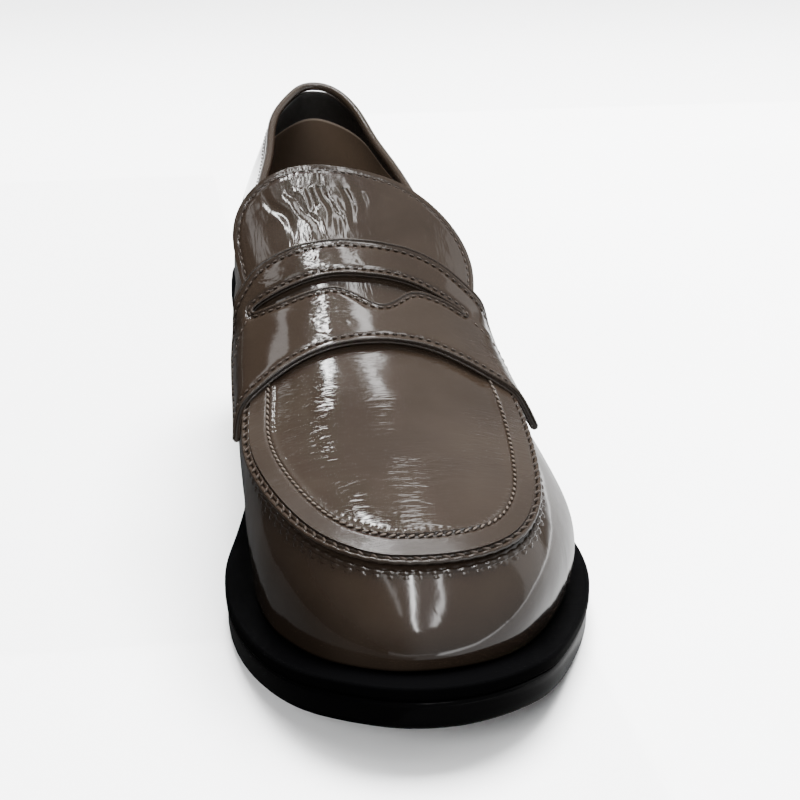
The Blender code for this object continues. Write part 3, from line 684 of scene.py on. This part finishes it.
# %% Border, puckers and creases
place = points_of(apron)
far, way = distance_to(border_lines, place)
edge_far, _ = distance_to([np.vstack((apron_row, apron_row[:1]))], place, 12 * MM)
inside = edge_far > BORDER_STITCH
on_border = np.clip((BORDER - 0.4 * MM - edge_far) / (0.8 * MM), 0, 1) * (place[:, 1] < -14 * MM)
store(apron, "on_border", on_border)
gather = np.cos(way * 2 * np.pi / PUCKER) * bell(far - 0.6 * MM, 1.3 * MM) * inside
ridge = bell(far - 0.9 * MM, 0.7 * MM) * inside
groove = bell(far, 0.55 * MM)
seam_far, _ = distance_to(border_lines + tongue_lines, place)
store(apron, "near_seam", bell(seam_far, SEAM_REACH))
creases = FOLD_SHARE * folds(place, TONGUE_FOLDS + APRON_FOLDS)
push(apron, 0.14 * MM * gather + 0.28 * MM * ridge - 0.35 * MM * groove
     + uneven(place, 14 * MM, 0.14 * MM, 2) + creases)
for face in apron.data.polygons:
    if face.material_index == OUTER and face.center.y > TONGUE_FRONT_Y:
        face.material_index = TONGUE_LOOK
dress(apron, "patent_leather", "apron")

# %% Stitches of the apron
sew("apron_stitches", border_lines, apron_tree, thread_pale, PUCKER, (1.7 * MM, 0.55 * MM, 0.5 * MM), 0.35)
sew("tongue_stitches", tongue_lines, apron_tree, thread_brown, 2.2 * MM, (1.6 * MM, 0.45 * MM, 0.4 * MM))

# %% [markdown]
# ## The seam of the toe
# Vamp and apron are drawn together by hand sewing: two thin ridges of leather side by side with slanting
# stitches over them, and the vamp gathered in small folds below. The ridges are swept along the middle of
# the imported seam. The folds are two more sweeps of swelling thickness, sunk in the vamp but for their crests.

# %% The middle of the seam
seam_solid = rounded(merged("moc_seam"), "moc_seam_middle", 1, ())
seam_points = points_of(seam_solid)
bpy.data.objects.remove(seam_solid)
front = runs(list(map(tuple, apron_row)), lambda p: p[1] < -12 * MM)[0]
middle = []
for point in resampled(front, 1.5 * MM):
    weight = bell(np.linalg.norm(seam_points - point, axis=1), 2.2 * MM)
    middle.append((seam_points * weight[:, None]).sum(0) / weight.sum())
middle = softened(resampled(np.array(middle), 0.8 * MM), 12)
outwards = np.cross(np.gradient(middle, axis=0), (0.0, 0.0, 1.0))
outwards /= np.linalg.norm(outwards, axis=1)[:, None]
if (outwards[:, 0] * (middle[:, 0] - middle[:, 0].mean())).sum() < 0:
    outwards = -outwards
print(f"seam of the toe: {way_along(middle)[-1] / MM:.0f} mm long")

# %% Ridges and gathers
SEAM_PITCH = 3.2 * MM
RIDGE_RADIUS = 0.62 * MM
RIDGE_ROUNDING = 2
GATHER_SWELL = 0.10
GATHER_REACH = 1.6 * MM
GATHER_ENDS = 40


def sweep(name, lines, radius, look, closed=False, swell=0.0):
    """A round ridge along each line; swell is the share by which it grows and shrinks at each pitch."""
    curve = bpy.data.curves.new(name, "CURVE")
    curve.dimensions = "3D"
    curve.bevel_depth = radius
    curve.bevel_resolution = RIDGE_ROUNDING
    curve.use_fill_caps = True
    for line in lines:
        route = curve.splines.new("POLY")
        route.points.add(len(line) - 1)
        route.points.foreach_set("co", np.column_stack((line, np.ones(len(line)))).ravel())
        route.points.foreach_set("radius", 1 + swell * np.cos(way_along(line) * 2 * np.pi / SEAM_PITCH))
        route.use_cyclic_u = closed
    maker = placed(name + "_path", curve)
    mesh = baked_mesh(maker)
    bpy.data.objects.remove(maker)
    mesh.shade_smooth()
    mesh.materials.clear()
    mesh.materials.append(look)
    return placed(name, mesh)


wobble = 0.10 * MM * np.sin(way_along(middle) * 2 * np.pi / SEAM_PITCH)
inner_ridge = middle - outwards * RIDGE_RADIUS + np.outer(0.05 * MM + wobble, (0, 0, 1))
outer_ridge = middle + outwards * RIDGE_RADIUS + np.outer(-0.25 * MM - wobble, (0, 0, 1))
dress(sweep("seam_ridge_inner", [inner_ridge], RIDGE_RADIUS, binding_patent), "patent_leather", "moc_seam")
dress(sweep("seam_ridge_outer", [outer_ridge], RIDGE_RADIUS, binding_patent), "patent_leather")
for name, down, radius, sunk in (
    ("gathers_upper", 2.2 * MM, 1.3 * MM, 0.95 * MM),
    ("gathers_lower", 3.7 * MM, 1.9 * MM, 1.75 * MM),
):
    row = []
    for point, side in zip(middle, outwards):
        spot, normal, _, _ = upper_tree.find_nearest(Vector(point + side * GATHER_REACH - (0, 0, down)))
        row.append(spot - normal * sunk)
    gathered = resampled(softened(np.array(row), 6), 0.4 * MM)[GATHER_ENDS:-GATHER_ENDS]
    dress(sweep(name, [gathered], radius, vamp_patent, swell=GATHER_SWELL), "patent_leather")

# %% Slanting stitches over both ridges
crossing = middle + outwards * (0.1 * MM) + (0, 0, 0.45 * MM)
even = resampled(crossing, SEAM_PITCH)
sides = [np.interp(way_along(even), way_along(crossing), outwards[:, axis]) for axis in range(3)]
bm = bmesh.new()
for point, tangent, side in zip(even, np.gradient(even, axis=0), np.column_stack(sides)):
    tangent = Vector(tangent).normalized()
    up = Vector(side).cross(tangent)
    stitch(bm, Vector(point), tangent, up if up.z > 0 else -up, (2.6 * MM, 0.7 * MM, 0.8 * MM), -0.6)
dress(new_piece(bm, "seam_stitches", thread_brown), "patent_leather")

# %% [markdown]
# ## The saddle strap
# The strap lies over the instep, its edges turned under and stitched, with a long cut-out whose lower edge
# has two humps. A thin rolled lip marks each turned edge. The stitches run close inside the edges, and two
# more rows run from the tips of the cut-out down to the outer edge.

# %% Strap
STRAP_THICKNESS = 1.6 * MM
EDGE_STITCH = 1.8 * MM
CUT_OUT_STITCH = 1.3 * MM
LIP_RADIUS = 0.40 * MM

bm = merged("saddle_strap")
sort_skins(bm, 100 * MM, STRAP_THICKNESS)
turned_edges(bm, 0.5 * MM)
strap = rounded(bm, "strap_leather", 3, (strap_patent, edge_paint, edge_paint))
strap_tree = skin_tree(strap)
outer_row, cut_out = borders(strap)[:2]
print("edges of strap and cut-out, mm:", [round(way_along(row)[-1] / MM) for row in (outer_row, cut_out)])
both_skins = borders(strap)[:2] + borders(strap, INNER)[:2]
lips = [softened(resampled(row, 0.8 * MM, True), 3, True) for row in both_skins]
dress(sweep("strap_lips", lips, LIP_RADIUS, binding_patent, closed=True), "patent_leather")

# %% Stitches of strap and quarters
strap_lines = runs(inside_line(outer_row, strap_tree, EDGE_STITCH))
strap_lines += runs(inside_line(cut_out, strap_tree, CUT_OUT_STITCH))
share = np.linspace(0.12, 0.92, 30)[:, None]
for tip, outwards_x in ((cut_out[cut_out[:, 0].argmax()], 20), (cut_out[cut_out[:, 0].argmin()], -20)):
    target = tip + np.array((outwards_x, -10, -18)) * MM
    end = outer_row[np.linalg.norm(outer_row - target, axis=1).argmin()]
    strap_lines.append(tip * (1 - share) + end * share)
place = points_of(strap)
far, _ = distance_to(strap_lines, place)
store(strap, "near_seam", bell(far, SEAM_REACH))
push(strap, uneven(place, 13 * MM, 0.12 * MM, 3) - 0.22 * MM * bell(far, 0.8 * MM))
dress(strap, "patent_leather", "saddle_strap")
sew("strap_stitches", strap_lines, strap_tree, thread_brown, 2.2 * MM, (1.5 * MM, 0.5 * MM, 0.45 * MM))
sew("quarter_stitches", quarter_lines, upper_tree, thread_brown, 2.2 * MM, (1.5 * MM, 0.45 * MM, 0.4 * MM))

# %% [markdown]
# ## Binding, sole and heel
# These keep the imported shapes, only rounder: the binding is a rolled strip, and the layers of the sole are
# cut with crisp corners that catch a thin line of light.

# %% Binding, welt, outsole, insole and heel
roll = rounded(merged("collar_binding"), "collar_roll", 2, (binding_patent,), 1.2)
dress(roll, "patent_leather", "collar_binding")
for node, name, look, slot in (
    ("welt", "welt_strip", welt_black, "black_welt"),
    ("outsole", "outsole_layer", sole_black, "black_rubber"),
    ("heel_block", "heel_stack", sole_black, "black_welt"),
    ("heel_top_piece", "heel_tread", tread_black, "black_rubber"),
    ("insole", "sock", sock_leather, "sock_lining"),
):
    bm = merged(node)
    for face in bm.faces:
        face.material_index = 0
    dress(rounded(bm, name, 2, (look,), 0.5, 0.9), slot, node)

# %% [markdown]
# ## Studio
# The shoe stands on a pale sweep that turns up behind it, inside a pale wall that only the camera sees. A
# wide soft light hangs overhead. Lacquer shows what it mirrors, so most of the studio is there for that: six
# narrow strips above draw the long bright lines, and dark cards of painted shade on the floor keep the paper out
# of the skin.

# %% Floor and wall
FLOOR_END = 1.0
FLOOR_BEND = 1.2
WALL_RADIUS = 6.0


def grey(value):
    """A colour without a hue."""
    return (value, value, value, 1.0)


def sweep_floor():
    """Floor and backdrop in one sheet, turned up in a wide curve behind the shoe and painted darker towards the
    back as painted shade.
    """
    bm = bmesh.new()
    bmesh.ops.create_grid(bm, x_segments=2, y_segments=60, size=1.0)
    for vert in bm.verts:
        way = (vert.co.y + 1) * 3.2 - 3.4
        turn = min(max(way - FLOOR_END, 0) / FLOOR_BEND, math.pi / 2)
        rest = max(way - FLOOR_END - FLOOR_BEND * math.pi / 2, 0)
        reach = min(way, FLOOR_END) + FLOOR_BEND * math.sin(turn)
        vert.co = (vert.co.x * 4.5, reach, FLOOR_BEND * (1 - math.cos(turn)) + rest)
    look = Look("studio_paper")
    grain = look.noise((200.0, 200.0, 200.0), detail=2.0)
    paper = look.mix(grain, (0.87, 0.875, 0.88, 1.0), (0.89, 0.893, 0.897, 1.0))
    # Painted shade: the paper darkens from 0.45 m to 1.9 m behind the shoe, up the backdrop, where the light falls
    # off.
    way_back = look.node("ShaderNodeSeparateXYZ", inputs={0: look.place}, output="Y")
    paper = look.mix(look.step(way_back, 0.45, 1.9), paper, (0.20, 0.203, 0.206, 1.0))
    new_piece(bm, "studio_sweep", look.finish(paper, grain * 0.1 + 0.7, grain * (0.01 * MM)))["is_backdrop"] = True


def surround():
    """A pale wall all round that only the camera sees, so that side views end in paper."""
    bm = bmesh.new()
    bmesh.ops.create_cone(bm, segments=64, radius1=WALL_RADIUS, radius2=WALL_RADIUS, depth=8.0)
    look = Look("wall_paper", Emission_Strength=3.0)
    look.feed(look.shader.inputs["Emission Color"], grey(1.0))
    made = new_piece(bm, "studio_wall", look.finish(BLACK, 0.9, 0.0))
    for ray in ("diffuse", "glossy", "transmission", "shadow", "volume_scatter"):
        setattr(made, "visible_" + ray, False)
    made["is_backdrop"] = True


sweep_floor()
surround()

# %% Lamps
STRIP_HEIGHT = 2.0


def lamp(name, place, aim, width, length, power, glossy=True):
    """A rectangular light at place that shines at aim, its length along the shoe."""
    light = bpy.data.lights.new(name, "AREA")
    light.shape = "RECTANGLE"
    light.size = width
    light.size_y = length
    light.energy = power
    made = placed(name, light)
    made.location = place
    back = (Vector(place) - Vector(aim)).normalized()
    along = (Vector((0, 1, 0)) - back * back.y).normalized()
    made.rotation_euler = Matrix((along.cross(back), along, back)).transposed().to_euler()
    made.visible_camera = False
    made.visible_glossy = glossy


lamp("soft_top", (0.35, 0.7, 1.8), (0, 0, 0), 1.3, 1.3, 300, glossy=False)
for name, x, y, width, length, radiance in (
    ("strip_far", -0.86, 0.45, 0.20, 1.8, 2.8),
    ("strip_narrow", -0.20, 0.36, 0.045, 1.6, 100.0),
    ("strip_wide", 0.25, 0.36, 0.15, 1.6, 12.0),
    ("tongue_strip", -0.45, -0.9, 0.10, 0.8, 3.0),
    ("toe_narrow", 0.0, -1.3, 0.05, 1.7, 55.0),
    ("toe_wide", 0.45, -1.15, 0.12, 1.4, 13.0),
):
    lamp(name, (x, y, STRIP_HEIGHT), (0, y, 0), width, length, radiance * math.pi * width * length)
lamp("card_right", (1.6, 0.2, 0.7), (0, 0, 0.05), 1.6, 1.2, 5)
lamp("fill_front", (-0.9, -1.4, 0.9), (0, 0, 0.05), 1.0, 1.0, 48, glossy=False)

# %% Cards
NEAR_X, FAR_X = -20 * MM, -150 * MM
CARD_FRONT, CARD_BACK = -280 * MM, 450 * MM


def card(name, corners, tone=0.015):
    """A dark card that only reflections and bounced light meet: upright, it stands for a dark thing close by; flat
    on the floor, it is painted shade that the skin mirrors.
    """
    bm = bmesh.new()
    bm.faces.new([bm.verts.new(corner) for corner in corners])
    look = Look(name)
    cloudy = look.mix(look.noise((9.0, 9.0, 9.0)), grey(tone * 0.6), grey(tone))
    made = new_piece(bm, name, look.finish(cloudy, 0.8, 0.0))
    made.visible_camera = False
    made.visible_shadow = False
    made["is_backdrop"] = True


def level(height, *plan):
    """Corners at one height."""
    return [(x, y, height) for x, y in plan]


card("inner_flag", [(FAR_X, CARD_FRONT, 0), (FAR_X, CARD_BACK, 0),
                    (FAR_X, CARD_BACK, 0.17), (FAR_X, CARD_FRONT, 0.04)])
# Painted shade on the floor between this shoe and its neighbour, seen only in reflections and bounced light.
card("floor_shade_flag", level(1.5 * MM, (FAR_X, CARD_FRONT), (NEAR_X, CARD_FRONT),
                         (NEAR_X, CARD_BACK), (FAR_X, CARD_BACK)))
# Painted shade on the floor in front of the toe and beside its outer side, seen only in reflections and bounced
# light.
card("front_shade_flag", level(MM, (-1.0, -1.2), (0.35, -1.2), (0.04, -0.3), (0.04, -0.06), (-1.0, -0.06)), 0.11)
card("outer_shade_flag", level(MM, (0.04, -0.3), (0.6, -0.3), (0.6, 0.6), (0.04, 0.6)), 0.24)

# %% Air
world = bpy.data.worlds.new("studio_air")
bpy.context.scene.world = world
world.use_nodes = True
air = Nodes(world.node_tree)
way_out = air.node("ShaderNodeTexCoord", output="Generated")
sideways = air.node("ShaderNodeSeparateXYZ", inputs={0: way_out}, output="X")
forwards = air.node("ShaderNodeSeparateXYZ", inputs={0: way_out}, output="Y")
backdrop = air.tree.nodes["Background"]
air.feed(backdrop.inputs["Strength"],
         air.step(sideways, -0.55, 0.25, 0.08, 0.54) * air.step(forwards, -0.8, 0.3, 1.3, 1.0))
air.feed(backdrop.inputs["Color"], (0.95, 0.96, 0.98, 1.0))

# %% [markdown]
# ## Camera
# The camera keeps the photograph's place and angle to the shoe: in front of the toe, a little to the inner
# side, looking down by twenty degrees.

# %% Camera
CAMERA_PLACE = Vector((-64.7, -445.8, 203.7)) * MM
CAMERA_AIM = Vector((3.5, -15.0, 43.5)) * MM

camera = bpy.data.cameras.new("camera")
camera.lens = 79.0
camera.sensor_width = 36.0
camera.clip_start = 0.01
eye = placed("camera", camera)
ahead = (CAMERA_AIM - CAMERA_PLACE).normalized()
to_right = ahead.cross(Vector((0, 0, 1))).normalized()
axes = Matrix((to_right, to_right.cross(ahead), -ahead)).transposed().to_4x4()
eye.matrix_world = Matrix.Translation(CAMERA_PLACE) @ axes
bpy.context.scene.camera = eye

# %% Boxes of the solids and of the dressed shoe
visual_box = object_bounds()
print("box of the solids and of the dressed shoe, mm:")
for corner in (*cad_box, *visual_box):
    print("  ", [round(value / MM, 1) for value in corner])
